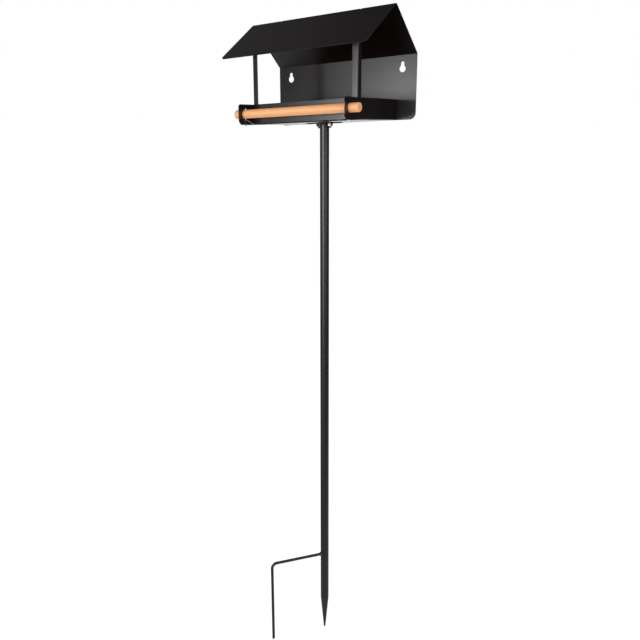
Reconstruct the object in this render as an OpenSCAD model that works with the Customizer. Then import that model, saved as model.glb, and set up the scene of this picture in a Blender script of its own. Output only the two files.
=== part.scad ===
// Bird feeder house of folded sheet steel on a ground stake.
// Millimetres. +Z is up and -Y is the open front. The origin lies on the pole's axis
// at ground level, where the step rod rests on the soil.

/* [Sheet steel] */
// Thickness of the roof, tray and post sheet
sheet_t = 1.2; // [0.8:0.1:1.6]
// Inside radius of every bend
bend_r = 1.5; // [1:0.1:2.5]

/* [Roof and back] */
// Width of the folded roof and back sheet
sheet_w = 325; // [300:1:380]
// Height of the back panel from its bottom edge to the fold
panel_h = 122.5; // [112:0.5:150]
// Sloped length of the back roof, from fold to ridge
back_roof_l = 122; // [110:1:140]
// Pitch of the back roof, in degrees
back_pitch = 39.7; // [34:0.1:46]
// Sloped length of the front roof, from ridge to eave
front_roof_l = 133; // [120:0.5:150]
// Pitch of the front roof, in degrees
front_pitch = 33.6; // [28:0.1:38]
// Radius of the two eave corners
eave_r = 10; // [4:1:20]
// Radius of the two bottom corners of the back panel
panel_r = 12.5; // [4:0.5:25]

/* [Hanging holes] */
// Diameter of the round part of each keyhole
key_d = 13; // [10:0.5:15]
// Width of the slot above it
key_slot_w = 7; // [5:0.5:9]
// Rise from the round part's centre to the slot's top centre
key_rise = 10; // [8:0.5:14]
// Distance from the sheet's side edge to the keyhole's centre
key_edge = 30.5; // [18:0.5:34]
// Height of the round part's centre above the panel's bottom edge
key_z = 97; // [70:1:97]
// Diameter of the two cord holes drilled in the ridge
ridge_hole_d = 4.5; // [3:0.5:6]
// Distance from the sheet's side edge to a ridge hole
ridge_hole_edge = 72.5; // [50:0.5:90]

/* [Tray] */
// Width over the two end plates
tray_w = 242; // [220:1:250]
// Distance from the pole's axis to the front wall's face
tray_front = 81; // [70:1:90]
// Distance from the pole's axis to the back panel
tray_back = 76; // [66:1:90]
// Height of the front wall and end plates
wall_h = 40; // [34:1:50]
// Reach of the end plates in front of the front wall
ear_l = 48; // [46:1:60]
// Radius of an end plate's upper front corner
ear_top_r = 7; // [2:0.5:10]
// Radius of an end plate's lower front corner
ear_low_r = 12; // [4:0.5:14]
// Height of the hidden flange that is spot welded to the back panel
seam_h = 22; // [12:1:30]
// Gap between each end of the front wall and the end plate
wall_gap = 0.4; // [0.2:0.1:0.8]

/* [Corner posts] */
// Width of a post's front flange
post_w = 12; // [9:0.5:18]
// Depth of a post's side flange
post_d = 13; // [9:0.5:20]
// Leg of the weld bead at a post's top
post_weld_l = 4; // [2:0.5:5]

/* [Perch] */
// Diameter of the wooden rod
perch_d = 17; // [12:0.5:18]
// Length of the wooden rod
perch_l = 282; // [264:1:320]
// Distance from an end plate's front edge to the rod's axis
perch_in = 20; // [16:0.5:22]
// Height of the rod's axis above the tray's underside
perch_z = 21; // [18:0.5:24]
// Radial clearance of the rod in the end plates
perch_gap = 0.3; // [0.2:0.05:0.6]
// Chamfer on the rod's ends
perch_chamfer = 1.2; // [0.5:0.1:2]

/* [Split pins] */
// Diameter of the closed shank
pin_d = 2; // [1.6:0.1:2.4]
// Outside diameter of the eye
pin_eye_d = 3.2; // [2.8:0.1:4]
// Gap between the eye and the end plate
pin_gap = 0.4; // [0.3:0.1:1]
// Radial clearance of the shank in the rod's cross hole
pin_hole_gap = 0.1; // [0.05:0.05:0.2]
// Length of closed shank that shows below the rod
pin_show = 0.8; // [0.5:0.1:2]
// Length of the straight leg below the rod
pin_leg_l = 15; // [10:0.5:16]
// Length of the bent leg beyond its bend
pin_bent_l = 21; // [12:0.5:24]
// Tilt of the bent leg from the straight one, in degrees
pin_tilt = 63; // [40:1:75]
// Inside radius of its bend
pin_bend_r = 1.5; // [1:0.1:3]

/* [Pole] */
// Height of the tray's underside above the ground
pole_h = 995; // [700:5:1300]
// Outside diameter of the tube
pole_d = 19; // [16:0.5:22]
// Wall of the tube
pole_wall = 1.5; // [1:0.1:2.5]
// Length of the straight tube below the ground
pole_in = 115; // [80:1:200]

/* [Ground point] */
// Length of the tapered point
point_l = 85; // [50:1:120]
// Diameter of the blunt tip
tip_d = 4; // [2:0.5:6]
// Length of the plug inside the tube
plug_l = 30; // [15:1:60]
// Radial clearance of the plug in the tube
plug_gap = 0.05; // [0.02:0.01:0.2]

/* [Step rod] */
// Diameter of the rod
rod_d = 6.5; // [5:0.5:10]
// Distance from the pole's axis to the rod's leg
arm_l = 133; // [90:1:180]
// Direction of the arm, in degrees from -X towards the front
arm_angle = 55; // [0:1:90]
// Depth of the leg's end below the ground
leg_depth = 200; // [120:1:260]
// Radius of the bend, on the rod's axis
rod_bend_r = 12; // [8:0.5:20]
// Slant of the cut at the leg's end, in degrees
leg_cut = 42; // [0:1:50]
// Width that stays blunt beside this cut
leg_blunt = 2.5; // [1:0.5:4]
// Leg of the weld bead round the rod, at the pole
step_weld_l = 3; // [1.5:0.5:4]

/* [Mounting plate] */
// Side of the square plate on top of the pole
plate_s = 52; // [48:1:80]
// Thickness of the plate
plate_t = 2; // [1.5:0.1:3]
// Radius of the plate's corners
plate_r = 3; // [2:0.5:8]
// Leg of the two weld beads between pole and plate
pole_weld_l = 2.5; // [1:0.5:4]
// Sweep of each of these beads, in degrees
pole_weld_sweep = 70; // [30:1:90]

/* [Bolts and nuts] */
// Thread diameter
bolt_d = 6; // [5:0.5:6]
// Length under the head
bolt_l = 12; // [12:1:20]
// Turn of the pole's plate and its two bolts against the house, in degrees
bolt_turn = 12; // [0:1:20]
// Radial clearance of the bolts in the tray and the plate
bolt_gap = 0.25; // [0.1:0.05:0.4]
// Diameter of the domed head
head_d = 11; // [9:0.5:13]
// Height of the domed head
head_h = 3.3; // [2:0.1:4]
// Width across flats of the hexagon socket in the head
socket_af = 4; // [2.5:0.5:4]
// Depth of this socket
socket_depth = 1.8; // [1:0.1:1.9]
// Width of the nut across its flats
nut_af = 10; // [9:0.5:11]
// Height of the nut
nut_h = 5.2; // [3:0.1:6]
// Gap between a nut's flat and the pole
nut_gap = 0.5; // [0.3:0.1:1]
// Turn of the left nut from the place where a flat is beside the pole, in degrees
left_nut_turn = 10; // [-10:1:10]
// Radial gap between nut and thread
thread_gap = 0.03; // [0.02:0.01:0.1]

/* [Hidden] */
$fn = 48;
// Outside radius of a bend
bend_out = bend_r + sheet_t;
// Room that a cutting shape has beyond the solid it cuts
over = 5;
// A post starts just above the bend at the tray's front edge
post_foot = bend_out + 0.3;

// The roof sheet's section is drawn as [Y, height above the tray's underside]. Outward
// directions are 0 degrees on the back panel and these on the back and the front roof.
back_out = 90 - back_pitch;
front_out = 90 + front_pitch;
// Length that each bend takes off the flats beside it
fold_take = bend_r * tan(back_out / 2);
ridge_take = bend_r * tan((front_out - back_out) / 2);
// Axes of the two bends, and the eave and the end of the ridge's bend on the inner face
fold_axis = [tray_back - bend_r, panel_h - fold_take];
ridge_axis = fold_axis + (back_roof_l - fold_take - ridge_take) * heading(back_out + 90);
ridge_in = ridge_axis + bend_r * heading(front_out);
eave_in = ridge_in + (front_roof_l - ridge_take) * heading(front_out + 90);

// Place of the perch and of its pins
perch_y = perch_in - tray_front - ear_l;
pin_x = tray_w / 2 - sheet_t - pin_gap - pin_eye_d / 2;
pin_r = pin_d / 2;
pin_wire_r = 0.7 * pin_r;

// Place of the bolts: each nut has a flat beside the pole
bolt_x = pole_d / 2 + nut_gap + nut_af / 2;

// Raises the parts of the house to the height of the tray's underside
module on_pole() {
    translate([0, 0, pole_h])
        children();
}

// Draws its children on the right, or mirrored on the left
module on_side(side) {
    mirror([side == "left" ? 1 : 0, 0, 0])
        children();
}

function heading(angle) = [cos(angle), sin(angle)];

// Points of an arc round a centre
function arc(centre, r, from, to, steps = 12) =
    [for (i = [0:steps]) centre + r * heading(from + (to - from) * i / steps)];

// Turns its children with the pole's plate
module on_plate() {
    rotate([0, 0, -bolt_turn])
        children();
}

// Moves its children from the pole's axis to a bolt's axis
module on_bolt(side) {
    on_plate()
        rotate([0, 0, side == "left" ? 180 : 0])
            translate([bolt_x, 0, 0])
                children();
}

// Draws its children's section in the plane of Y and Z and extrudes it along X
module along_x(w) {
    translate([-w / 2, 0, 0])
        rotate([90, 0, 90])
            linear_extrude(height = w)
                children();
}

// The section of the sheet: up the outer face of the panel, over the ridge to the eave
// and back on the inner face
module roof_section() {
    polygon(concat(
        [[tray_back + sheet_t, 0]],
        arc(fold_axis, bend_out, 0, back_out),
        arc(ridge_axis, bend_out, back_out, front_out),
        [eave_in + sheet_t * heading(front_out), eave_in],
        arc(ridge_axis, bend_r, front_out, back_out),
        arc(fold_axis, bend_r, back_out, 0),
        [[tray_back, 0]]
    ));
}

// All that lies above the inner face of the front roof
module above_front_roof() {
    rise = [0, 2 * panel_h];
    along_x(sheet_w)
        polygon([eave_in, ridge_in, ridge_in + rise, eave_in + rise]);
}

// What is cut away to round a corner of the first quadrant
module corner_cut(r) {
    difference() {
        translate([-over, -over, -over])
            cube([r + over, r + over, 2 * over]);
        translate([r, r, -2 * over])
            cylinder(r = r, h = 4 * over);
    }
}

// What is cut away to round both ends of an edge of the roof sheet
module edge_cut(r) {
    for (side = [0, 1])
        mirror([side, 0, 0])
            translate([-sheet_w / 2, 0, 0])
                corner_cut(r);
}

// A keyhole through the back panel, with its slot above its round part
module keyhole() {
    rotate([90, 0, 0]) {
        cylinder(d = key_d, h = 2 * over, center = true);
        translate([0, key_rise, 0])
            cylinder(d = key_slot_w, h = 2 * over, center = true);
        translate([-key_slot_w / 2, 0, -over])
            cube([key_slot_w, key_rise, 2 * over]);
    }
}

// One sheet folded into back panel, back roof and front roof
module hood() {
    color("#26262a")
        on_pole()
            difference() {
                along_x(sheet_w)
                    roof_section();
                translate([0, eave_in[0], eave_in[1]])
                    rotate([front_pitch, 0, 0])
                        edge_cut(eave_r);
                translate([0, tray_back, 0])
                    rotate([90, 0, 0])
                        edge_cut(panel_r);
                for (side = [-1, 1]) {
                    translate([side * (sheet_w / 2 - key_edge), tray_back, key_z])
                        keyhole();
                    translate([side * (sheet_w / 2 - ridge_hole_edge), ridge_axis[0],
                        ridge_axis[1]])
                        cylinder(d = ridge_hole_d, h = 2 * over);
                }
            }
}

// A wall along X that is bent up from the floor at some distance in front of the pole
module bent_wall(dist, w, h) {
    bend_w = tray_w - 2 * bend_out;
    translate([-w / 2, -dist, bend_out])
        cube([w, sheet_t, h - bend_out]);
    translate([-bend_w / 2, bend_out - dist, bend_out])
        rotate([90, 0, 90])
            rotate([0, 0, 180])
                rotate_extrude(angle = 90)
                    translate([bend_r, 0])
                        square([sheet_t, bend_w]);
}

// The right end plate, with its bend from the floor and the ear that holds the perch
module end_plate() {
    front = -tray_front - ear_l;
    inner_x = tray_w / 2 - sheet_t;
    bend_l = tray_front + tray_back - bend_out;
    difference() {
        union() {
            translate([inner_x, front, 0])
                cube([sheet_t, ear_l + bend_out, wall_h]);
            translate([inner_x, -tray_front, bend_out])
                cube([sheet_t, tray_front + tray_back, wall_h - bend_out]);
            translate([tray_w / 2 - bend_out, tray_back, bend_out])
                rotate([90, 0, 0])
                    rotate([0, 0, -90])
                        rotate_extrude(angle = 90)
                            translate([bend_r, 0])
                                square([sheet_t, bend_l]);
        }
        translate([inner_x, front, 0])
            rotate([90, 0, 90])
                corner_cut(ear_low_r);
        translate([inner_x, front, wall_h])
            mirror([0, 0, 1])
                rotate([90, 0, 90])
                    corner_cut(ear_top_r);
        translate([inner_x - over, perch_y, perch_z])
            rotate([0, 90, 0])
                cylinder(r = perch_d / 2 + perch_gap, h = 2 * over);
    }
}

// One sheet folded into floor, front wall, two end plates and the hidden rear flange
module tray() {
    floor_w = tray_w - 2 * bend_out;
    color("#2a2a2e")
        on_pole()
            difference() {
                union() {
                    translate([-floor_w / 2, bend_out - tray_front, 0])
                        cube([floor_w, tray_front + tray_back - 2 * bend_out, sheet_t]);
                    bent_wall(tray_front, tray_w - 2 * (sheet_t + wall_gap), wall_h);
                    mirror([0, 1, 0])
                        bent_wall(tray_back, floor_w, seam_h);
                    for (side = ["left", "right"])
                        on_side(side)
                            end_plate();
                }
                for (side = ["left", "right"])
                    on_bolt(side)
                        cylinder(r = bolt_d / 2 + bolt_gap, h = 2 * over, center = true);
            }
}

// An angle post in a front corner of the tray, cut to the slope of the roof
module post(side) {
    corner_x = tray_w / 2 - sheet_t;
    corner_y = sheet_t - tray_front;
    long = 2 * panel_h;
    color("#2a2a2e")
        on_pole()
            on_side(side)
                difference() {
                    union() {
                        translate([corner_x - post_w, corner_y, post_foot])
                            cube([post_w - bend_out, sheet_t, long]);
                        translate([corner_x - sheet_t, corner_y + bend_out, post_foot])
                            cube([sheet_t, post_d - bend_out, long]);
                        translate([corner_x - bend_out, corner_y + bend_out, post_foot])
                            rotate([0, 0, -90])
                                rotate_extrude(angle = 90)
                                    translate([bend_r, 0])
                                        square([sheet_t, long]);
                    }
                    above_front_roof();
                }
}

// The bead in the corner between a post's front flange and the roof
module post_weld(side) {
    back_y = 2 * sheet_t - tray_front;
    slope = -heading(front_out + 90);
    roof_z = eave_in[1] + (back_y - eave_in[0]) * tan(front_pitch);
    color("#202024")
        on_pole()
            on_side(side)
                difference() {
                    translate([tray_w / 2 - sheet_t - post_w, back_y, roof_z])
                        rotate([90, 0, 90])
                            linear_extrude(height = post_w - bend_out)
                                polygon([[0, sheet_t], [0, -post_weld_l], post_weld_l * slope,
                                    post_weld_l * slope + [0, sheet_t]]);
                    above_front_roof();
                }
}

// The wooden rod, with chamfered ends and a cross hole for each split pin
module perch() {
    half = perch_l / 2;
    color("#e8b184")
        on_pole()
            translate([0, perch_y, perch_z])
                difference() {
                    rotate([0, 90, 0]) {
                        cylinder(d = perch_d, h = perch_l - 2 * perch_chamfer, center = true);
                        for (turn = [0, 180])
                            rotate([turn, 0, 0])
                                translate([0, 0, half - perch_chamfer])
                                    cylinder(d1 = perch_d, d2 = perch_d - 2 * perch_chamfer,
                                        h = perch_chamfer);
                    }
                    for (side = [-1, 1])
                        translate([side * pin_x, 0, 0])
                            cylinder(r = pin_r + pin_hole_gap, h = 2 * perch_d, center = true);
                }
}

// The section of one leg: half of the shank, on the inner or the outer side
module half_round(side) {
    intersection() {
        circle(r = pin_r);
        translate([side == "inner" ? -pin_d : 0, -pin_d])
            square([pin_d, 2 * pin_d]);
    }
}

// A pin of wire folded double: an eye, a shank, a straight leg and a leg that is bent over
module split_pin(side) {
    top = perch_d / 2;
    bottom = -top - pin_show;
    bend_x = -pin_r - pin_bend_r;
    color("silver")
        on_pole()
            on_side(side)
                translate([pin_x, perch_y, perch_z]) {
                    translate([0, 0, top + pin_eye_d / 2])
                        rotate([90, 0, 0])
                            rotate_extrude()
                                translate([pin_eye_d / 2 - pin_wire_r, 0])
                                    circle(r = pin_wire_r);
                    translate([0, 0, bottom])
                        cylinder(r = pin_r, h = top + pin_wire_r - bottom);
                    translate([0, 0, -top - pin_leg_l])
                        linear_extrude(height = pin_leg_l - pin_show)
                            half_round("outer");
                    translate([bend_x, 0, bottom]) {
                        rotate([90, 0, 0])
                            rotate([0, 0, -pin_tilt])
                                rotate_extrude(angle = pin_tilt)
                                    translate([-bend_x, 0])
                                        half_round("inner");
                        rotate([0, pin_tilt, 0])
                            translate([-bend_x, 0, -pin_bent_l])
                                linear_extrude(height = pin_bent_l)
                                    half_round("inner");
                    }
                }
}

// The square plate that carries the tray
module mounting_plate() {
    color("#222226")
        on_pole()
            translate([0, 0, -plate_t])
                difference() {
                    on_plate()
                        translate([-plate_s / 2, -plate_s / 2, 0])
                            cube([plate_s, plate_s, plate_t]);
                    for (turn = [0, 90, 180, 270])
                        on_plate()
                            rotate([0, 0, turn])
                                translate([-plate_s / 2, -plate_s / 2, 0])
                                    corner_cut(plate_r);
                    for (side = ["left", "right"])
                        on_bolt(side)
                            cylinder(r = bolt_d / 2 + bolt_gap, h = 2 * over, center = true);
                }
}

// A bolt whose domed head lies in the tray
module bolt(side) {
    dome_r = (pow(head_d / 2, 2) + pow(head_h, 2)) / (2 * head_h);
    color("#3a3a3e")
        on_pole()
            on_bolt(side)
                translate([0, 0, sheet_t])
                    difference() {
                        union() {
                            translate([0, 0, -bolt_l])
                                cylinder(d = bolt_d, h = bolt_l);
                            intersection() {
                                translate([0, 0, head_h - dome_r])
                                    sphere(r = dome_r);
                                cylinder(d = head_d, h = head_h);
                            }
                        }
                        translate([0, 0, head_h - socket_depth])
                            cylinder(d = socket_af / cos(30), h = head_h, $fn = 6);
                    }
}

// A hexagon nut under the plate, with chamfered corners and a flat beside the pole. The left
// one ends up turned a little further.
module nut(side) {
    wide_r = nut_af / 2 + nut_h / tan(30);
    color("#404044")
        on_pole()
            on_bolt(side)
                translate([0, 0, -plate_t - nut_h])
                    rotate([0, 0, side == "left" ? left_nut_turn : 0])
                        difference() {
                            intersection() {
                                rotate([0, 0, 30])
                                    cylinder(d = nut_af / cos(30), h = nut_h, $fn = 6);
                                cylinder(r1 = nut_af / 2, r2 = wide_r, h = nut_h);
                                cylinder(r1 = wide_r, r2 = nut_af / 2, h = nut_h);
                            }
                            translate([0, 0, -over])
                                cylinder(r = bolt_d / 2 + thread_gap, h = nut_h + 2 * over);
                        }
}

// The tube from the plate down into the soil
module pole() {
    tube_l = pole_in + pole_h - plate_t;
    color("#232327")
        translate([0, 0, -pole_in])
            difference() {
                cylinder(d = pole_d, h = tube_l);
                translate([0, 0, -over])
                    cylinder(r = pole_d / 2 - pole_wall, h = tube_l + 2 * over);
            }
}

// Two beads, in front of the pole and behind it, that leave room for the nuts
module pole_weld() {
    color("#202024")
        on_pole()
            translate([0, 0, -plate_t])
                for (turn = [-90, 90])
                    rotate([0, 0, turn - pole_weld_sweep / 2])
                        rotate_extrude(angle = pole_weld_sweep)
                            polygon([[pole_d / 2, 0], [pole_d / 2 + pole_weld_l, 0],
                                [pole_d / 2, -pole_weld_l]]);
}

// The solid point that plugs the tube's lower end
module ground_point() {
    cone_l = point_l - tip_d / 2;
    color("#242428")
        translate([0, 0, -pole_in]) {
            cylinder(r = pole_d / 2 - pole_wall - plug_gap, h = plug_l);
            translate([0, 0, -cone_l]) {
                cylinder(d1 = tip_d, d2 = pole_d, h = cone_l);
                sphere(d = tip_d);
            }
        }
}

// Turns +X into the direction of the arm and raises its children to the arm's axis
module on_arm() {
    translate([0, 0, rod_d / 2])
        rotate([0, 0, 180 + arm_angle])
            children();
}

// The rod to step on: coped to the pole, bent down and cut to a slant
module step_rod() {
    bend_x = arm_l - rod_bend_r;
    end_z = -leg_depth - rod_d / 2;
    color("#232327")
        on_arm()
            difference() {
                union() {
                    rotate([0, 90, 0])
                        cylinder(d = rod_d, h = bend_x);
                    translate([bend_x, 0, -rod_bend_r])
                        rotate([90, 0, 0])
                            rotate_extrude(angle = 90)
                                translate([rod_bend_r, 0])
                                    circle(d = rod_d);
                    translate([arm_l, 0, end_z])
                        cylinder(d = rod_d, h = -rod_bend_r - end_z);
                }
                translate([0, 0, -rod_d])
                    cylinder(d = pole_d, h = 2 * rod_d);
                translate([arm_l + rod_d / 2 - leg_blunt, 0, end_z])
                    rotate([0, leg_cut, 0])
                        translate([-3 * rod_d, -rod_d, -2 * rod_d])
                            cube([4 * rod_d, 2 * rod_d, 2 * rod_d]);
            }
}

// The bead round the step rod where it meets the pole
module step_weld() {
    rise = pole_d / 2 - sqrt(pow(pole_d / 2, 2) - pow(rod_d / 2 + step_weld_l, 2));
    color("#202024")
        on_arm()
            difference() {
                translate([pole_d / 2 - rise, 0, 0])
                    rotate([0, 90, 0])
                        cylinder(r1 = rod_d / 2 + step_weld_l, r2 = rod_d / 2,
                            h = rise + step_weld_l);
                rotate([0, 90, 0])
                    cylinder(d = rod_d, h = arm_l);
                translate([0, 0, -pole_d])
                    cylinder(d = pole_d, h = 2 * pole_d);
            }
}

hood();
tray();
post("left");  // left_post
post("right");  // right_post
post_weld("left");  // left_post_weld
post_weld("right");  // right_post_weld
perch();
split_pin("left");  // left_split_pin
split_pin("right");  // right_split_pin
mounting_plate();
bolt("left");  // left_bolt
bolt("right");  // right_bolt
nut("left");  // left_nut
nut("right");  // right_nut
pole();
pole_weld();
ground_point();
step_rod();
step_weld();
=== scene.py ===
import math

import bmesh
import bpy
from mathutils import Matrix, Vector


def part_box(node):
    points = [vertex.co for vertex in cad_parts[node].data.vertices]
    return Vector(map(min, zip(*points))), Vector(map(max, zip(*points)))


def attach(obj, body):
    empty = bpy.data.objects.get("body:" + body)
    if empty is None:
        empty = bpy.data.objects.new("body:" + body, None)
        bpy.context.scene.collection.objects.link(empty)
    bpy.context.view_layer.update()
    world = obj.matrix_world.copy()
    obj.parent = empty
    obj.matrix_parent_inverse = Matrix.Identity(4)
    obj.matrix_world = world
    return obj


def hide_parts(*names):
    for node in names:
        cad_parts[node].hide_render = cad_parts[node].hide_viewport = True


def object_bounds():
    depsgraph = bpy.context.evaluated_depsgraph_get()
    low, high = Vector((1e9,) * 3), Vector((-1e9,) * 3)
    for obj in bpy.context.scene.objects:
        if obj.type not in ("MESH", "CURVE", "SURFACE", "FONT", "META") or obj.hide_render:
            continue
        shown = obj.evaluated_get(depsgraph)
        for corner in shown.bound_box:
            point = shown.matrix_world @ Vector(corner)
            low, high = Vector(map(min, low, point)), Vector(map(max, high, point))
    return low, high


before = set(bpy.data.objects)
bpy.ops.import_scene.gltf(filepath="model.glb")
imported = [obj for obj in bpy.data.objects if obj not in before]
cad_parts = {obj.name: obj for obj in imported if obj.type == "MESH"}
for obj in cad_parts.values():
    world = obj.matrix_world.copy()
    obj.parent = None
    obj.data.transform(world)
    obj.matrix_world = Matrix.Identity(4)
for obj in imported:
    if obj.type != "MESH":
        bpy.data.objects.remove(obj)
cad_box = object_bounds()


# Hood: one steel sheet, cut out and folded three times into back panel, back roof and front roof.
# It is powder coated in satin black. The cut edges are tumbled first, so each one is a little
# round, and the coat is thinner and smoother there. The lighter colour along each is a painted
# highlight.
RIM_RADIUS = 0.0003
SHARP = math.radians(35)
FLAT = math.radians(0.3)
COAT_BLACK = (0.0030, 0.0012, 0.0010, 1)
COAT_CLOUD = (0.0050, 0.0026, 0.0024, 1)
COAT_SPECK = (0.022, 0.021, 0.021, 1)
# Colour of the painted highlight along the middle of the rounded edges
COAT_RIM_HIGHLIGHT = (0.020, 0.0195, 0.0195, 1)
COAT_ROUGHNESS = 0.30
SHEET_SKIN_DEPTH = 0.000028


def merged_copy(node):
    """The mesh of a CAD node with its loose triangles joined and its flat faces made whole"""
    bm = bmesh.new()
    bm.from_mesh(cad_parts[node].data)
    bmesh.ops.remove_doubles(bm, verts=bm.verts, dist=1e-6)
    bmesh.ops.dissolve_limit(
        bm, angle_limit=FLAT, use_dissolve_boundaries=False, verts=bm.verts, edges=bm.edges
    )
    return bm


def runs_beside(edge, edges):
    """True if another of these edges leaves one end of this edge in almost the same direction"""
    for vert in edge.verts:
        heading = edge.other_vert(vert).co - vert.co
        for other in vert.link_edges:
            if other != edge and other in edges:
                if heading.angle(other.other_vert(vert).co - vert.co) < SHARP:
                    return True
    return False


def round_rims(bm, radius, segments=2):
    """Rounds each sharp edge and marks the middle of the round in the attribute rim"""
    rim = bm.verts.layers.float.new("rim")
    sharp = {e for e in bm.edges if len(e.link_faces) == 2 and e.calc_face_angle() > SHARP}
    made = bmesh.ops.bevel(
        bm, geom=[e for e in sharp if not runs_beside(e, sharp)], offset=radius, offset_type="OFFSET",
        affect="EDGES", segments=segments, profile=0.5, material=-1, clamp_overlap=False,
    )
    rounded = set(made["faces"])
    for vert in {v for face in rounded for v in face.verts}:
        if all(face in rounded for face in vert.link_faces):
            vert[rim] = 1.0


def coated_piece(bm, name, material, body, slot, *nodes):
    """Makes the mesh a piece that stands for these CAD nodes and moves with a body"""
    mesh = bpy.data.meshes.new(name)
    for face in bm.faces:
        face.smooth = True
    for edge in bm.edges:
        edge.smooth = len(edge.link_faces) == 2 and edge.calc_face_angle() < SHARP
    bm.to_mesh(mesh)
    bm.free()
    piece = bpy.data.objects.new(name, mesh)
    bpy.context.scene.collection.objects.link(piece)
    mesh.materials.append(material)
    normals = piece.modifiers.new("even_normals", "WEIGHTED_NORMAL")
    normals.mode = "FACE_AREA"
    normals.weight = 100
    normals.keep_sharp = True
    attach(piece, body)
    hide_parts(*nodes)


def shader_node(tree, kind, values=(), **settings):
    """A new node with these settings and input values"""
    node = tree.nodes.new(kind)
    for name, value in settings.items():
        setattr(node, name, value)
    for name, value in dict(values).items():
        node.inputs[name].default_value = value
    return node


def feed(tree, source, socket):
    """Links a socket to an input, or sets the input to a plain value"""
    if isinstance(source, bpy.types.NodeSocket):
        tree.links.new(source, socket)
    else:
        socket.default_value = source


def maths(tree, operation, *sources):
    """The output of a Math node over these sockets or numbers"""
    node = shader_node(tree, "ShaderNodeMath", operation=operation)
    for socket, source in zip(node.inputs, sources):
        feed(tree, source, socket)
    return node.outputs[0]


def spread(tree, source, low, high, new_low=0.0, new_high=1.0):
    """Maps a value from one range to another, with smooth ends"""
    node = shader_node(tree, "ShaderNodeMapRange", interpolation_type="SMOOTHSTEP")
    names = ("Value", "From Min", "From Max", "To Min", "To Max")
    for name, value in zip(names, (source, low, high, new_low, new_high)):
        feed(tree, value, node.inputs[name])
    return node.outputs["Result"]


def mixed(tree, factor, first, second):
    """The output of a colour mix"""
    node = shader_node(tree, "ShaderNodeMix", data_type="RGBA")
    sockets = {socket.identifier: socket for socket in node.inputs}
    for name, source in (("Factor_Float", factor), ("A_Color", first), ("B_Color", second)):
        feed(tree, source, sockets[name])
    return {socket.identifier: socket for socket in node.outputs}["Result_Color"]


def noise(tree, vector, scale, detail=2.0, roughness=0.5):
    """The value of a noise texture"""
    node = shader_node(
        tree, "ShaderNodeTexNoise", {"Scale": scale, "Detail": detail, "Roughness": roughness},
    )
    tree.links.new(vector, node.inputs["Vector"])
    return node.outputs["Fac"]


def new_group(name, inputs, outputs):
    """An empty node group with these sockets, and its input and output nodes"""
    group = bpy.data.node_groups.new(name, "ShaderNodeTree")
    for label, kind in inputs:
        group.interface.new_socket(name=label, in_out="INPUT", socket_type=kind)
    for label, kind in outputs:
        group.interface.new_socket(name=label, in_out="OUTPUT", socket_type=kind)
    return group, group.nodes.new("NodeGroupInput"), group.nodes.new("NodeGroupOutput")


# How often each pattern of the coat comes again, in repeats a metre
SKIN_WAVES = 420
SKIN_GRAIN = 2600
GLOSS_CLOUDS = 14
COAT_SPECKS = 900
RIM_HIGHLIGHT_BREAKUP = 130
# How much of each pattern shows
CLOUD_SHARE = 0.35
SPECK_SHARE = 0.35
SPECK_DULLNESS = 0.08
RIM_GLOSS = 0.08
WAVE_SHARE = 0.75
GRAIN_SHARE = 0.25


def make_powder_skin():
    """Powder coat: a flow skin of shallow waves, a finer grain, and cloudy gloss"""
    group, inlet, outlet = new_group(
        "powder_skin",
        [
            ("Vector", "NodeSocketVector"), ("Colour", "NodeSocketColor"),
            ("Rim Highlight Colour", "NodeSocketColor"), ("Roughness", "NodeSocketFloat"),
            ("Rim", "NodeSocketFloat"),
        ],
        [("Colour", "NodeSocketColor"), ("Roughness", "NodeSocketFloat"), ("Height", "NodeSocketFloat")],
    )
    place = inlet.outputs["Vector"]
    waves = noise(group, place, SKIN_WAVES, 2)
    grain = noise(group, place, SKIN_GRAIN, 1)
    clouds = noise(group, place, GLOSS_CLOUDS, 4, 0.6)
    specks = spread(group, noise(group, place, COAT_SPECKS, 3, 0.6), 0.68, 0.76)
    # The lighter colour along the middle of each rounded edge, broken up by noise, is a painted
    # highlight; the lower roughness there is the coat's smoother finish.
    highlight_breakup = spread(group, noise(group, place, RIM_HIGHLIGHT_BREAKUP), 0.3, 0.7, 0.4, 1)
    rim = maths(group, "MULTIPLY", inlet.outputs["Rim"], highlight_breakup)
    cloudy = maths(group, "MULTIPLY", clouds, CLOUD_SHARE)
    plain = mixed(group, cloudy, inlet.outputs["Colour"], COAT_CLOUD)
    specked = mixed(group, maths(group, "MULTIPLY", specks, SPECK_SHARE), plain, COAT_SPECK)
    rim_highlighted = mixed(group, rim, specked, inlet.outputs["Rim Highlight Colour"])
    group.links.new(rim_highlighted, outlet.inputs["Colour"])
    unevenness = spread(group, clouds, 0.25, 0.75, -0.01, 0.02)
    gloss = maths(group, "ADD", inlet.outputs["Roughness"], unevenness)
    gloss = maths(group, "ADD", gloss, maths(group, "MULTIPLY", specks, SPECK_DULLNESS))
    gloss = maths(group, "SUBTRACT", gloss, maths(group, "MULTIPLY", rim, RIM_GLOSS))
    group.links.new(gloss, outlet.inputs["Roughness"])
    fine = maths(group, "MULTIPLY", grain, GRAIN_SHARE)
    height = maths(group, "MULTIPLY_ADD", waves, WAVE_SHARE, fine)
    group.links.new(height, outlet.inputs["Height"])
    return group


powder_skin = make_powder_skin()


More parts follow.
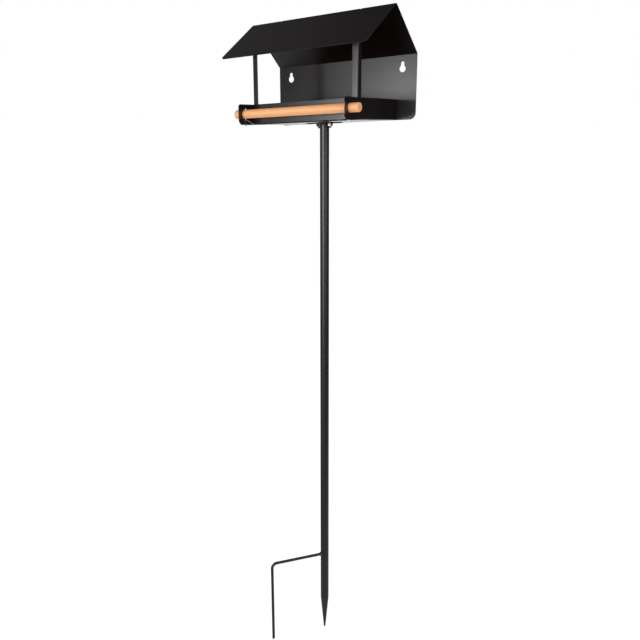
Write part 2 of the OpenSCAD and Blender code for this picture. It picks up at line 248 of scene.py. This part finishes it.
def coat_material(name, colour, rim_highlight_colour, roughness, wave_depth):
    """Satin powder coat on steel"""
    material = bpy.data.materials.new(name)
    material.use_nodes = True
    tree = material.node_tree
    shader = tree.nodes["Principled BSDF"]
    shader.inputs["Specular IOR Level"].default_value = 0.5
    skin = shader_node(tree, "ShaderNodeGroup", node_tree=powder_skin)
    skin.inputs["Colour"].default_value = colour
    skin.inputs["Rim Highlight Colour"].default_value = rim_highlight_colour
    skin.inputs["Roughness"].default_value = roughness
    place = shader_node(tree, "ShaderNodeTexCoord")
    rim = shader_node(tree, "ShaderNodeAttribute", attribute_name="rim")
    bump = shader_node(tree, "ShaderNodeBump", {"Strength": 1.0, "Distance": wave_depth})
    tree.links.new(place.outputs["Object"], skin.inputs["Vector"])
    tree.links.new(rim.outputs["Fac"], skin.inputs["Rim"])
    tree.links.new(skin.outputs["Colour"], shader.inputs["Base Color"])
    tree.links.new(skin.outputs["Roughness"], shader.inputs["Roughness"])
    tree.links.new(skin.outputs["Height"], bump.inputs["Height"])
    tree.links.new(bump.outputs["Normal"], shader.inputs["Normal"])
    return material


sheet_coat = coat_material(
    "satin_black_sheet", COAT_BLACK, COAT_RIM_HIGHLIGHT, COAT_ROUGHNESS, SHEET_SKIN_DEPTH
)
hood = merged_copy("hood")
round_rims(hood, RIM_RADIUS)
coated_piece(hood, "folded_hood", sheet_coat, "feeder", "coated_sheet", "hood")


# Tray: one sheet folded up into front wall, two end plates with their perch ears and a rear
# flange that is spot welded to the panel. Same steel and coat as the hood.
tray = merged_copy("tray")
round_rims(tray, RIM_RADIUS)
coated_piece(tray, "folded_tray", sheet_coat, "feeder", "coated_sheet", "tray")


# Corner posts: two angle strips that stand in the tray's front corners and carry the roof. They
# are bent from the same sheet and coated with the house.
for side in ("left", "right"):
    post = merged_copy(side + "_post")
    round_rims(post, RIM_RADIUS)
    coated_piece(post, side + "_angle_post", sheet_coat, "feeder", "coated_sheet", side + "_post")


# Mounting plate: a square of 2 mm steel with rounded corners, welded on the pole's top. The tray
# lies on it, and the coat covers plate, pole and rod in one.
POLE_ROUGHNESS = 0.42
POLE_SKIN_DEPTH = 0.00003
PLATE_RIM = 0.0004
pole_coat = coat_material("satin_black_pole", COAT_BLACK, COAT_RIM_HIGHLIGHT, POLE_ROUGHNESS, POLE_SKIN_DEPTH)
plate = merged_copy("mounting_plate")
round_rims(plate, PLATE_RIM)
coated_piece(plate, "square_mounting_plate", pole_coat, "feeder", "coated_pole", "mounting_plate")


# Pole, ground point and step rod: a drawn steel tube, plugged at its lower end by a solid turned
# point that goes into the soil, and a bent bar that is stepped on. All are coated with the plate.
BAR_RIM = 0.0002
BARS = {"pole": "tube_pole", "ground_point": "turned_ground_point", "step_rod": "bent_step_rod"}
for node, name in BARS.items():
    bar = merged_copy(node)
    round_rims(bar, BAR_RIM)
    coated_piece(bar, name, pole_coat, "feeder", "coated_pole", node)


# Perch: a turned beech dowel with chamfered ends, sanded and thinly oiled. It lies loose in the
# end plates' holes, and its grain runs along it.
BEECH_PALE = (0.50, 0.246, 0.110, 1)
BEECH_WARM = (0.43, 0.196, 0.075, 1)
BEECH_FLECK = (0.27, 0.115, 0.042, 1)
# How far the middle of the tree's rings lies from the dowel's axis
PITH_Y = 0.031
PITH_Z = 0.019
GRAIN_STRETCH = 0.04
YEAR_RINGS = 150
FIBRES = 2400
FLECKS = 1300
FIBRE_DEPTH = 0.00004
PERCH_RIM = 0.0002
perch_low, perch_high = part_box("perch")
perch_centre = (perch_low + perch_high) / 2
beech = bpy.data.materials.new("oiled_beech")
beech.use_nodes = True
tree = beech.node_tree
shader = tree.nodes["Principled BSDF"]
shader.inputs["Specular IOR Level"].default_value = 0.5
place = shader_node(tree, "ShaderNodeTexCoord")
centred = shader_node(tree, "ShaderNodeMapping", vector_type="POINT")
centred.inputs["Location"].default_value = (0, PITH_Y - perch_centre.y, PITH_Z - perch_centre.z)
along = shader_node(tree, "ShaderNodeMapping", vector_type="POINT")
along.inputs["Scale"].default_value = (GRAIN_STRETCH, 1, 1)
tree.links.new(place.outputs["Object"], centred.inputs["Vector"])
tree.links.new(centred.outputs["Vector"], along.inputs["Vector"])
rings = shader_node(
    tree, "ShaderNodeTexWave",
    {"Scale": YEAR_RINGS, "Distortion": 2.5, "Detail": 2, "Detail Scale": 0.6},
    wave_type="RINGS", rings_direction="X",
)
tree.links.new(along.outputs["Vector"], rings.inputs["Vector"])
fibres = noise(tree, along.outputs["Vector"], FIBRES, 3, 0.6)
flecks = spread(tree, noise(tree, along.outputs["Vector"], FLECKS, 1), 0.62, 0.7)
layers = mixed(tree, spread(tree, rings.outputs["Fac"], 0.1, 0.95), BEECH_PALE, BEECH_WARM)
streaked = mixed(tree, spread(tree, fibres, 0.35, 0.75, 0, 0.4), layers, BEECH_PALE)
flecked = mixed(tree, maths(tree, "MULTIPLY", flecks, 0.5), streaked, BEECH_FLECK)
tree.links.new(flecked, shader.inputs["Base Color"])
tree.links.new(spread(tree, fibres, 0.3, 0.8, 0.50, 0.66), shader.inputs["Roughness"])
bump = shader_node(tree, "ShaderNodeBump", {"Strength": 1.0, "Distance": FIBRE_DEPTH})
tree.links.new(maths(tree, "SUBTRACT", fibres, flecks), bump.inputs["Height"])
tree.links.new(bump.outputs["Normal"], shader.inputs["Normal"])
perch = merged_copy("perch")
round_rims(perch, PERCH_RIM)
coated_piece(perch, "beech_perch", beech, "perch", "beech", "perch")


# Split pins: half-round wire of bright zinc plated steel, folded double round an eye. Each goes
# down through the perch, with one leg straight and one bent over towards the house's middle.
WIRE_RADIUS = 0.0010
WIRE_SEGMENTS = 20
PIN_TIP = -0.0235
PIN_TIP_TAPER = 0.0006
NECK_Z = 0.00881
NECK_RADIUS = 0.00108
NECK_TURN = math.radians(50)
NECK_STEPS = 6
EYE_RADIUS = 0.0006
EYE_RISE = 0.001287
EYE_STEPS = 28
LEG_BEND_Z = -0.0093
LEG_BEND_RADIUS = 0.0025
LEG_BEND = math.radians(63)
LEG_BEND_STEPS = 10
BENT_LEG = 0.021
TIP_SHARE = 0.6
ZINC_BRIGHT = (0.50, 0.49, 0.46, 1)
ZINC_DULL = (0.30, 0.29, 0.27, 1)
ZINC_ROUGHNESS = 0.38
PATCHES = 700
SCRATCHES = 3200
SCRATCH_DEPTH = 0.00002


def metal_material(name, colour, dark_colour, roughness, metallic):
    """Plated steel with cloudy gloss, fine scratches and darker patches"""
    material = bpy.data.materials.new(name)
    material.use_nodes = True
    tree = material.node_tree
    shader = tree.nodes["Principled BSDF"]
    shader.inputs["Metallic"].default_value = metallic
    place = shader_node(tree, "ShaderNodeTexCoord").outputs["Object"]
    patches = noise(tree, place, PATCHES, 3)
    tree.links.new(
        mixed(tree, spread(tree, patches, 0.4, 0.75), colour, dark_colour), shader.inputs["Base Color"]
    )
    tree.links.new(
        spread(tree, patches, 0.3, 0.7, roughness - 0.05, roughness + 0.1), shader.inputs["Roughness"]
    )
    bump = shader_node(tree, "ShaderNodeBump", {"Strength": 1.0, "Distance": SCRATCH_DEPTH})
    tree.links.new(noise(tree, place, SCRATCHES, 2), bump.inputs["Height"])
    tree.links.new(bump.outputs["Normal"], shader.inputs["Normal"])
    return material


def region(face):
    """A face with its edges and vertices, as the operators want it"""
    return [face, *face.edges, *face.verts]


def last_face(geometry):
    """The face that an operator made last"""
    return [part for part in geometry if isinstance(part, bmesh.types.BMFace)][0]


def draw_out(bm, face, step):
    """Extrudes a face by a step and gives the new end face"""
    made = bmesh.ops.extrude_face_region(bm, geom=region(face))["geom"]
    end = last_face(made)
    bmesh.ops.translate(bm, verts=end.verts, vec=step)
    return end


def bend_round(bm, face, centre, axis, angle, steps):
    """Spins a face round an axis and gives the new end face"""
    made = bmesh.ops.spin(bm, geom=region(face), cent=centre, axis=axis, angle=angle, steps=steps)
    return last_face(made["geom_last"])


def end_scale(bm, face, share):
    """Draws the end face of a bar in"""
    middle = face.calc_center_median()
    bmesh.ops.scale(bm, verts=face.verts, vec=(share, share, share), space=Matrix.Translation(-middle))


def split_pin():
    """The right pin, upright, with its shank on the Z axis and the perch's axis at the origin"""
    bm = bmesh.new()
    bmesh.ops.create_circle(bm, cap_ends=True, radius=WIRE_RADIUS, segments=WIRE_SEGMENTS)
    bmesh.ops.bisect_plane(
        bm, geom=bm.verts[:] + bm.edges[:] + bm.faces[:], plane_co=(0, 0, 0), plane_no=(1, 0, 0),
        clear_inner=True,
    )
    bmesh.ops.translate(bm, verts=bm.verts, vec=(0, 0, PIN_TIP))
    bm.faces.ensure_lookup_table()
    tip = bm.faces[0]
    end = draw_out(bm, tip, (0, 0, PIN_TIP_TAPER))
    tip = [face for face in bm.faces if all(vert.co.z < PIN_TIP + 1e-6 for vert in face.verts)][0]
    end_scale(bm, tip, TIP_SHARE)
    end = draw_out(bm, end, (0, 0, NECK_Z - PIN_TIP - PIN_TIP_TAPER))
    y_axis = (0, 1, 0)
    end = bend_round(bm, end, (NECK_RADIUS, 0, NECK_Z), y_axis, NECK_TURN, NECK_STEPS)
    eye_turn = -(math.pi + 2 * NECK_TURN)
    end = bend_round(bm, end, (0, 0, NECK_Z + EYE_RISE), y_axis, eye_turn, EYE_STEPS)
    end = bend_round(bm, end, (-NECK_RADIUS, 0, NECK_Z), y_axis, NECK_TURN, NECK_STEPS)
    end = draw_out(bm, end, (0, 0, LEG_BEND_Z - NECK_Z))
    bend_centre = (-LEG_BEND_RADIUS, 0, LEG_BEND_Z)
    end = bend_round(bm, end, bend_centre, y_axis, LEG_BEND, LEG_BEND_STEPS)
    down = Vector((-math.sin(LEG_BEND), 0, -math.cos(LEG_BEND)))
    end = draw_out(bm, end, (BENT_LEG - PIN_TIP_TAPER) * down)
    end = draw_out(bm, end, PIN_TIP_TAPER * down)
    end_scale(bm, end, TIP_SHARE)
    bmesh.ops.delete(bm, geom=[edge for edge in bm.edges if not edge.link_faces], context="EDGES")
    return bm


bright_zinc = metal_material("bright_zinc_wire", ZINC_BRIGHT, ZINC_DULL, ZINC_ROUGHNESS, 1.0)
for side, turn in (("left", -1), ("right", 1)):
    node = side + "_split_pin"
    low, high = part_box(node)
    pin = split_pin()
    bmesh.ops.scale(pin, verts=pin.verts, vec=(turn, 1, 1))
    bmesh.ops.recalc_face_normals(pin, faces=pin.faces)
    shank_x = (high.x if turn > 0 else -low.x) - EYE_RADIUS - WIRE_RADIUS
    bmesh.ops.translate(pin, verts=pin.verts, vec=(turn * shank_x, perch_centre.y, perch_centre.z))
    coated_piece(pin, side + "_cotter_pin", bright_zinc, "perch", "bright_zinc", node)


# Bolts and nuts: M6 screws with domed socket heads in the tray and plain nuts under the plate,
# blackened zinc. The thread shows below each nut.
THREAD_PITCH = 0.0010
THREAD_DEPTH = 0.00055
THREAD_STEPS = 32
SPARE_TURNS = 2
CREST_START = 0.38
CREST_END = 0.5
FLANK_END = 0.88
THREAD_CHAMFER = 0.86
BOLT_RADIUS = 0.0030
BOLT_RIM = 0.0002
NUT_RIM = 0.0001
BLACK_ZINC = (0.10, 0.10, 0.10, 1)
BLACK_ZINC_DARK = (0.04, 0.04, 0.042, 1)
BLACK_ZINC_ROUGHNESS = 0.22
BLACK_ZINC_METALLIC = 0.9


def thread(top, bottom):
    """A threaded rod on the Z axis, cut flat at both ends, with a chamfered lower end"""
    bm = bmesh.new()
    turns = math.ceil((top - bottom) / THREAD_PITCH) + SPARE_TURNS
    valley = BOLT_RADIUS - THREAD_DEPTH
    profile = [(valley, 0), (BOLT_RADIUS, CREST_START), (BOLT_RADIUS, CREST_END), (valley, FLANK_END)]
    verts = []
    for turn in range(-SPARE_TURNS, turns - SPARE_TURNS):
        for radius, share in profile:
            verts.append(bm.verts.new((radius, 0, bottom + (turn + share) * THREAD_PITCH)))
    verts.append(bm.verts.new((valley, 0, bottom + (turns - SPARE_TURNS) * THREAD_PITCH)))
    edges = [bm.edges.new(pair) for pair in zip(verts, verts[1:])]
    bmesh.ops.spin(
        bm, geom=verts + edges, cent=(0, 0, 0), axis=(0, 0, 1), angle=2 * math.pi, steps=THREAD_STEPS,
        dvec=(0, 0, THREAD_PITCH / THREAD_STEPS),
    )
    bmesh.ops.remove_doubles(bm, verts=bm.verts, dist=1e-5)
    for height, up in ((top, 1), (bottom, -1)):
        made = bmesh.ops.bisect_plane(
            bm, geom=bm.verts[:] + bm.edges[:] + bm.faces[:], plane_co=(0, 0, height),
            plane_no=(0, 0, up), clear_outer=True,
        )
        rim = [part for part in made["geom_cut"] if isinstance(part, bmesh.types.BMEdge)]
        bmesh.ops.edgenet_fill(bm, edges=rim)
    for vert in bm.verts:
        if vert.co.z < bottom + 1e-6:
            vert.co.xy *= THREAD_CHAMFER
    bmesh.ops.dissolve_degenerate(bm, dist=1e-6, edges=bm.edges)
    bmesh.ops.recalc_face_normals(bm, faces=bm.faces)
    return bm


def add_to(bm, addition):
    """Puts one bmesh into another and frees it"""
    mesh = bpy.data.meshes.new("addition")
    addition.to_mesh(mesh)
    addition.free()
    bm.from_mesh(mesh)
    bpy.data.meshes.remove(mesh)


black_zinc = metal_material(
    "black_zinc_screws", BLACK_ZINC, BLACK_ZINC_DARK, BLACK_ZINC_ROUGHNESS, BLACK_ZINC_METALLIC
)
for side in ("left", "right"):
    low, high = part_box(side + "_bolt")
    nut_low, nut_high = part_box(side + "_nut")
    inside_nut = (nut_low.z + nut_high.z) / 2
    bolt = merged_copy(side + "_bolt")
    bmesh.ops.bisect_plane(
        bolt, geom=bolt.verts[:] + bolt.edges[:] + bolt.faces[:], plane_co=(0, 0, inside_nut),
        plane_no=(0, 0, -1), clear_outer=True,
    )
    bmesh.ops.holes_fill(bolt, edges=bolt.edges)
    round_rims(bolt, BOLT_RIM)
    screw = thread(inside_nut, low.z)
    bmesh.ops.translate(screw, verts=screw.verts, vec=((low.x + high.x) / 2, (low.y + high.y) / 2, 0))
    add_to(bolt, screw)
    coated_piece(bolt, side + "_domed_bolt", black_zinc, "feeder", "black_zinc", side + "_bolt")
    nut = merged_copy(side + "_nut")
    round_rims(nut, NUT_RIM)
    coated_piece(nut, side + "_hexagon_nut", black_zinc, "feeder", "black_zinc", side + "_nut")


# Weld beads: at the pole's top, round the step rod and in the corners over the posts. They are
# laid by hand in small overlapping pools, so they bulge and ripple, and they are coated over.
WELD_RIPPLE = 0.0011
WELD_SHARE = 0.96
WELD_ROOT = 0.00005
WELD_ANGLES = (0.0, -0.39, -0.78, -1.18, -math.pi / 2)
POOL_DEPTH = 0.16
BEAD_END_SHARE = 0.35
BEAD_END_LENGTH = 0.0022
POLE_WELD_SWEEP = math.radians(70)
POLE_WELD_LEG = 0.0025
POLE_WELD_STEPS = 48
plate_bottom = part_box("mounting_plate")[0].z
tube_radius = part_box("pole")[1].x


def bead_section(bm, leg):
    """A fillet's section in the plane of X and Z: its corner at the origin, legs along X and -Z"""
    size = WELD_SHARE * leg
    points = [(-WELD_ROOT, 0)] + [(size * math.cos(a), size * math.sin(a)) for a in WELD_ANGLES]
    return bm.faces.new([bm.verts.new((x, 0, z)) for x, z in points])


def ripple(bm, corner_and_length, bead_length):
    """Draws a bead in between its pools and at its two ends"""
    for vert in bm.verts:
        corner, length = corner_and_length(vert.co)
        pool = abs(math.sin(math.pi * length / WELD_RIPPLE))
        to_end = max(0, min(length, bead_length - length))
        swell = 1 - POOL_DEPTH * (1 - math.sqrt(pool))
        swell *= min(1, BEAD_END_SHARE + math.sqrt(to_end / BEAD_END_LENGTH))
        vert.co = corner + (vert.co - corner) * swell


def on_tube(co, first):
    """The corner of plate and tube beside a point, and its way round the tube from the angle first"""
    around = Vector((co.x, co.y, 0)).normalized()
    angle = (math.atan2(co.y, co.x) - first + math.pi) % (2 * math.pi) - math.pi
    return around * tube_radius + Vector((0, 0, plate_bottom)), angle * tube_radius


def on_roof(co):
    """The corner of post and roof beside a point, and its way along the bead"""
    return Vector((co.x, 0, 0)), co.x


beads = bmesh.new()
for side in (-1, 1):
    bead = bmesh.new()
    start = bead_section(bead, POLE_WELD_LEG)
    bmesh.ops.translate(bead, verts=bead.verts, vec=(tube_radius, 0, plate_bottom))
    first = side * math.pi / 2 - POLE_WELD_SWEEP / 2
    bmesh.ops.rotate(bead, verts=bead.verts, cent=(0, 0, 0), matrix=Matrix.Rotation(first, 3, "Z"))
    bend_round(bead, start, (0, 0, 0), (0, 0, 1), POLE_WELD_SWEEP, POLE_WELD_STEPS)
    ripple(bead, lambda co: on_tube(co, first), POLE_WELD_SWEEP * tube_radius)
    bmesh.ops.recalc_face_normals(bead, faces=bead.faces)
    add_to(beads, bead)
coated_piece(beads, "pole_top_weld", pole_coat, "feeder", "coated_weld", "pole_weld")

# The bead round the step rod, first as a ring round the X axis. Each corner of its section is a
# distance from the pole's surface and a radius round the rod.
RING_SECTION = (
    (-0.0002, 0.0060), (0.0004, 0.0058), (0.0016, 0.0048),
    (0.0027, 0.0036), (0.0029, 0.0030), (-0.0002, 0.0030),
)
RING_BORE = 0.0030
RING_THICKNESS = 0.0030
RING_REACH = 0.0030
RING_STEPS = 96
RING_POOLS = 20
RING_POOL_DEPTH = 0.10
RING_FLATTENING = 0.17
SADDLE_LENGTH = 0.0026
ROD_RADIUS = 0.00325
ARM_HEADING = math.radians(-125)
ring = bmesh.new()
outline = [ring.verts.new((tube_radius + reach, 0, radius)) for reach, radius in RING_SECTION]
edges = [ring.edges.new(pair) for pair in zip(outline, outline[1:] + outline[:1])]
bmesh.ops.spin(
    ring, geom=outline + edges, cent=(0, 0, 0), axis=(1, 0, 0), angle=2 * math.pi, steps=RING_STEPS,
    use_merge=True,
)
for vert in ring.verts:
    height = vert.co.yz.length - RING_BORE
    if height > 0.0001:
        sag = tube_radius - math.sqrt(tube_radius ** 2 - vert.co.y ** 2)
        saddle = (tube_radius + RING_REACH - vert.co.x) / SADDLE_LENGTH
        vert.co.x -= sag * max(0.0, min(1.0, saddle))
        pool = math.sqrt(abs(math.sin(RING_POOLS / 2 * math.atan2(vert.co.z, vert.co.y))))
        out = 1 - RING_POOL_DEPTH * (1 - pool)
        flatter = 1 - RING_FLATTENING * min(1.0, height / RING_THICKNESS)
        vert.co.y *= out
        vert.co.z *= out * flatter
bmesh.ops.rotate(ring, verts=ring.verts, cent=(0, 0, 0), matrix=Matrix.Rotation(ARM_HEADING, 3, "Z"))
bmesh.ops.translate(ring, verts=ring.verts, vec=(0, 0, ROD_RADIUS))
bmesh.ops.recalc_face_normals(ring, faces=ring.faces)
coated_piece(ring, "step_rod_weld", pole_coat, "feeder", "coated_weld", "step_weld")

# The beads between the posts' tops and the roof, which rises towards the ridge
POST_WELD_LEG = 0.0036
POST_WELD_STEPS = 40
ROOF_SLOPE = math.radians(33.6)
along_roof = Vector((0, math.cos(ROOF_SLOPE), math.sin(ROOF_SLOPE)))
for side in ("left", "right"):
    low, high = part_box(side + "_post_weld")
    length = high.x - low.x
    bead = bmesh.new()
    end = bead_section(bead, POST_WELD_LEG)
    for vert in bead.verts:
        vert.co = along_roof * vert.co.x + Vector((0, 0, vert.co.z))
    for step in range(POST_WELD_STEPS):
        end = draw_out(bead, end, (length / POST_WELD_STEPS, 0, 0))
    ripple(bead, on_roof, length)
    corner = Vector((low.x, low.y, high.z - (high.y - low.y) * math.tan(ROOF_SLOPE)))
    bmesh.ops.translate(bead, verts=bead.verts, vec=corner)
    bmesh.ops.recalc_face_normals(bead, faces=bead.faces)
    coated_piece(
        bead, side + "_post_top_weld", sheet_coat, "feeder", "coated_weld", side + "_post_weld"
    )


# Studio floor: white paper. The camera sees it as white. The coat mirrors it as grey near the
# house and dark farther off, with a shaded patch on the left, a bright patch at the pole's foot
# and a bright sector far behind on the left.
floor_z = cad_box[0].z
FLOOR_HALF = 40.0
PAPER_WHITE = (0.8, 0.8, 0.8, 1)
PAPER_SEEN = 1.09
GLOW_SHARE = 0.9
BACKDROP = Vector((-0.57, 0.82, 0)).normalized()
# Middles of the patches, how bright each is, and the distances over which it fades
GREY_MIDDLE = (-0.5, 0.8, floor_z)
GREY_NEAR = 0.65
GREY_FAR = 0.05
GREY_FADE = (1.0, 2.4)
SHADED_MIDDLE = (-0.48, 0.08, floor_z)
SHADED = 0.03
SHADED_FADE = (0.35, 0.8)
FOOT_MIDDLE = (0, 0, floor_z)
FOOT_GLOW = 0.6
FOOT_FADE = (0.2, 0.6)
SECTOR_GLOW = 1.7
SECTOR_FADE = (1.6, 3.0)
SECTOR_ANGLES = (50, 35)


def distance_to(tree, place, point):
    """How far a place lies from a point"""
    node = shader_node(tree, "ShaderNodeVectorMath", operation="DISTANCE")
    tree.links.new(place, node.inputs[0])
    node.inputs[1].default_value = point
    return node.outputs["Value"]


def towards(tree, direction, heading, outer, inner, strength=1.0):
    """Rises from 0 to the strength as a direction nears a heading, between two angles in degrees"""
    node = shader_node(tree, "ShaderNodeVectorMath", operation="DOT_PRODUCT")
    tree.links.new(direction, node.inputs[0])
    node.inputs[1].default_value = heading
    edge = math.cos(math.radians(outer))
    full = math.cos(math.radians(inner))
    return spread(tree, node.outputs["Value"], edge, full, 0, strength)


def mirror_rays(tree, rays):
    """1 for the rays that a mirror image is made of"""
    return maths(tree, "MAXIMUM", rays.outputs["Is Glossy Ray"], rays.outputs["Is Transmission Ray"])


floor_mesh = bmesh.new()
bmesh.ops.create_grid(floor_mesh, x_segments=1, y_segments=1, size=FLOOR_HALF)
bmesh.ops.translate(floor_mesh, verts=floor_mesh.verts, vec=(0, 0, floor_z))
mesh = bpy.data.meshes.new("paper_floor")
floor_mesh.to_mesh(mesh)
floor_mesh.free()
floor = bpy.data.objects.new("paper_floor", mesh)
bpy.context.scene.collection.objects.link(floor)

paper = bpy.data.materials.new("white_paper")
mesh.materials.append(paper)
paper.use_nodes = True
tree = paper.node_tree
tree.nodes.remove(tree.nodes["Principled BSDF"])
matte = shader_node(tree, "ShaderNodeBsdfDiffuse", {"Color": PAPER_WHITE})
glow = shader_node(tree, "ShaderNodeEmission", {"Color": (1, 1, 1, 1)})
rays = shader_node(tree, "ShaderNodeLightPath")
place = shader_node(tree, "ShaderNodeTexCoord").outputs["Object"]
from_middle = distance_to(tree, place, GREY_MIDDLE)
image = spread(tree, from_middle, *GREY_FADE, GREY_NEAR, GREY_FAR)
shade = spread(tree, distance_to(tree, place, SHADED_MIDDLE), *SHADED_FADE, SHADED, 1)
image = maths(tree, "MULTIPLY", image, shade)
from_pole = shader_node(tree, "ShaderNodeVectorMath", operation="NORMALIZE")
tree.links.new(place, from_pole.inputs[0])
sector = towards(tree, from_pole.outputs["Vector"], BACKDROP, *SECTOR_ANGLES)
far = spread(tree, from_middle, *SECTOR_FADE, 0, SECTOR_GLOW)
image = maths(tree, "MAXIMUM", image, maths(tree, "MULTIPLY", sector, far))
foot = spread(tree, distance_to(tree, place, FOOT_MIDDLE), *FOOT_FADE, FOOT_GLOW, 0)
image = maths(tree, "MAXIMUM", image, foot)
mirrored = mirror_rays(tree, rays)
seen = maths(tree, "MULTIPLY", rays.outputs["Is Camera Ray"], PAPER_SEEN)
strength = maths(tree, "MAXIMUM", seen, maths(tree, "MULTIPLY", mirrored, image))
tree.links.new(strength, glow.inputs["Strength"])
watched = maths(tree, "MAXIMUM", rays.outputs["Is Camera Ray"], mirrored)
both = shader_node(tree, "ShaderNodeMixShader")
tree.links.new(maths(tree, "MULTIPLY", watched, GLOW_SHARE), both.inputs["Fac"])
tree.links.new(matte.outputs["BSDF"], both.inputs[1])
tree.links.new(glow.outputs["Emission"], both.inputs[2])
tree.links.new(both.outputs["Shader"], tree.nodes["Material Output"].inputs["Surface"])


# Studio room: white to the camera, soft light on matt faces. In the coat's mirror image it is dim,
# with a bright low wall behind on the left and a pale patch high up on the left.
ROOM_IMAGE = 0.048
ROOM_SOFT = 0.85
WALL_GLOW = 1.8
WALL_ANGLES = (40, 26)
WALL_FULL_UP_TO = math.sin(math.radians(14))
WALL_ENDS_AT = math.sin(math.radians(28))
CEILING = Vector((-0.85, 0.25, 0.65)).normalized()
CEILING_GLOW = 0.15
CEILING_ANGLES = (34, 6)
world = bpy.data.worlds.new("studio_room")
bpy.context.scene.world = world
world.use_nodes = True
tree = world.node_tree
background = tree.nodes["Background"]
background.inputs["Color"].default_value = (1, 1, 1, 1)
rays = shader_node(tree, "ShaderNodeLightPath")
direction = shader_node(tree, "ShaderNodeTexCoord").outputs["Generated"]
height = shader_node(tree, "ShaderNodeSeparateXYZ")
tree.links.new(direction, height.inputs["Vector"])
low = spread(tree, height.outputs["Z"], WALL_FULL_UP_TO, WALL_ENDS_AT, WALL_GLOW, 0)
wall = maths(tree, "MULTIPLY", towards(tree, direction, BACKDROP, *WALL_ANGLES), low)
image = maths(tree, "MAXIMUM", wall, ROOM_IMAGE)
ceiling = towards(tree, direction, CEILING, *CEILING_ANGLES, CEILING_GLOW)
image = maths(tree, "MAXIMUM", image, ceiling)
room = maths(tree, "MULTIPLY", mirror_rays(tree, rays), image)
soft = maths(tree, "MULTIPLY", rays.outputs["Is Diffuse Ray"], ROOM_SOFT)
brightness = maths(tree, "ADD", rays.outputs["Is Camera Ray"], maths(tree, "ADD", room, soft))
tree.links.new(brightness, background.inputs["Strength"])


# Lamps: two key softboxes in front, the right one lower and taller, a large fill on the right and
# a weak lamp overhead. All four are hidden from the camera.
AIM = Vector((0, 0, 1.05))


def softbox(name, azimuth, distance, height, width, tall, radiance):
    """An area lamp round the object, aimed at the house. Azimuth 0 is in front, 90 on the right."""
    lamp = bpy.data.lights.new(name, "AREA")
    lamp.shape = "RECTANGLE"
    lamp.size = width
    lamp.size_y = tall
    lamp.energy = radiance * math.pi * width * tall
    light = bpy.data.objects.new(name, lamp)
    bpy.context.scene.collection.objects.link(light)
    angle = math.radians(azimuth)
    light.location = (distance * math.sin(angle), -distance * math.cos(angle), height)
    light.rotation_euler = (AIM - light.location).to_track_quat("-Z", "Y").to_euler()
    light.visible_camera = False


softbox("key_softbox", -15.5, 2.0, 0.97, 0.66, 0.44, 20)
softbox("low_key_softbox", 2, 2.0, 0.84, 0.56, 0.92, 16)
softbox("fill_softbox", 70, 1.8, 1.3, 1.5, 1.5, 3.0)
softbox("top_softbox", 10, 0.9, 3.2, 1.2, 1.2, 0.8)


# Camera: the photograph's view, from the front right, a little lower than the tray. The lens is
# shifted to the side, as the fit of the camera to the photo gave it.
CAMERA_PLACE = (0.772918, -1.256281, 0.962165)
TURN_LEFT = 0.676996
LOOK_DOWN = 0.251965
ROLL = -0.031645
camera_data = bpy.data.cameras.new("camera")
camera_data.sensor_width = 36
camera_data.lens = 38.92
camera_data.shift_x = 0.1248
camera_data.shift_y = 0.0003
camera = bpy.data.objects.new("camera", camera_data)
bpy.context.scene.collection.objects.link(camera)
camera.matrix_world = (
    Matrix.Translation(CAMERA_PLACE)
    @ Matrix.Rotation(TURN_LEFT, 4, "Z")
    @ Matrix.Rotation(math.pi / 2 - LOOK_DOWN, 4, "X")
    @ Matrix.Rotation(ROLL, 4, "Z")
)
bpy.context.scene.camera = camera
bpy.context.scene.view_settings.view_transform = "Standard"
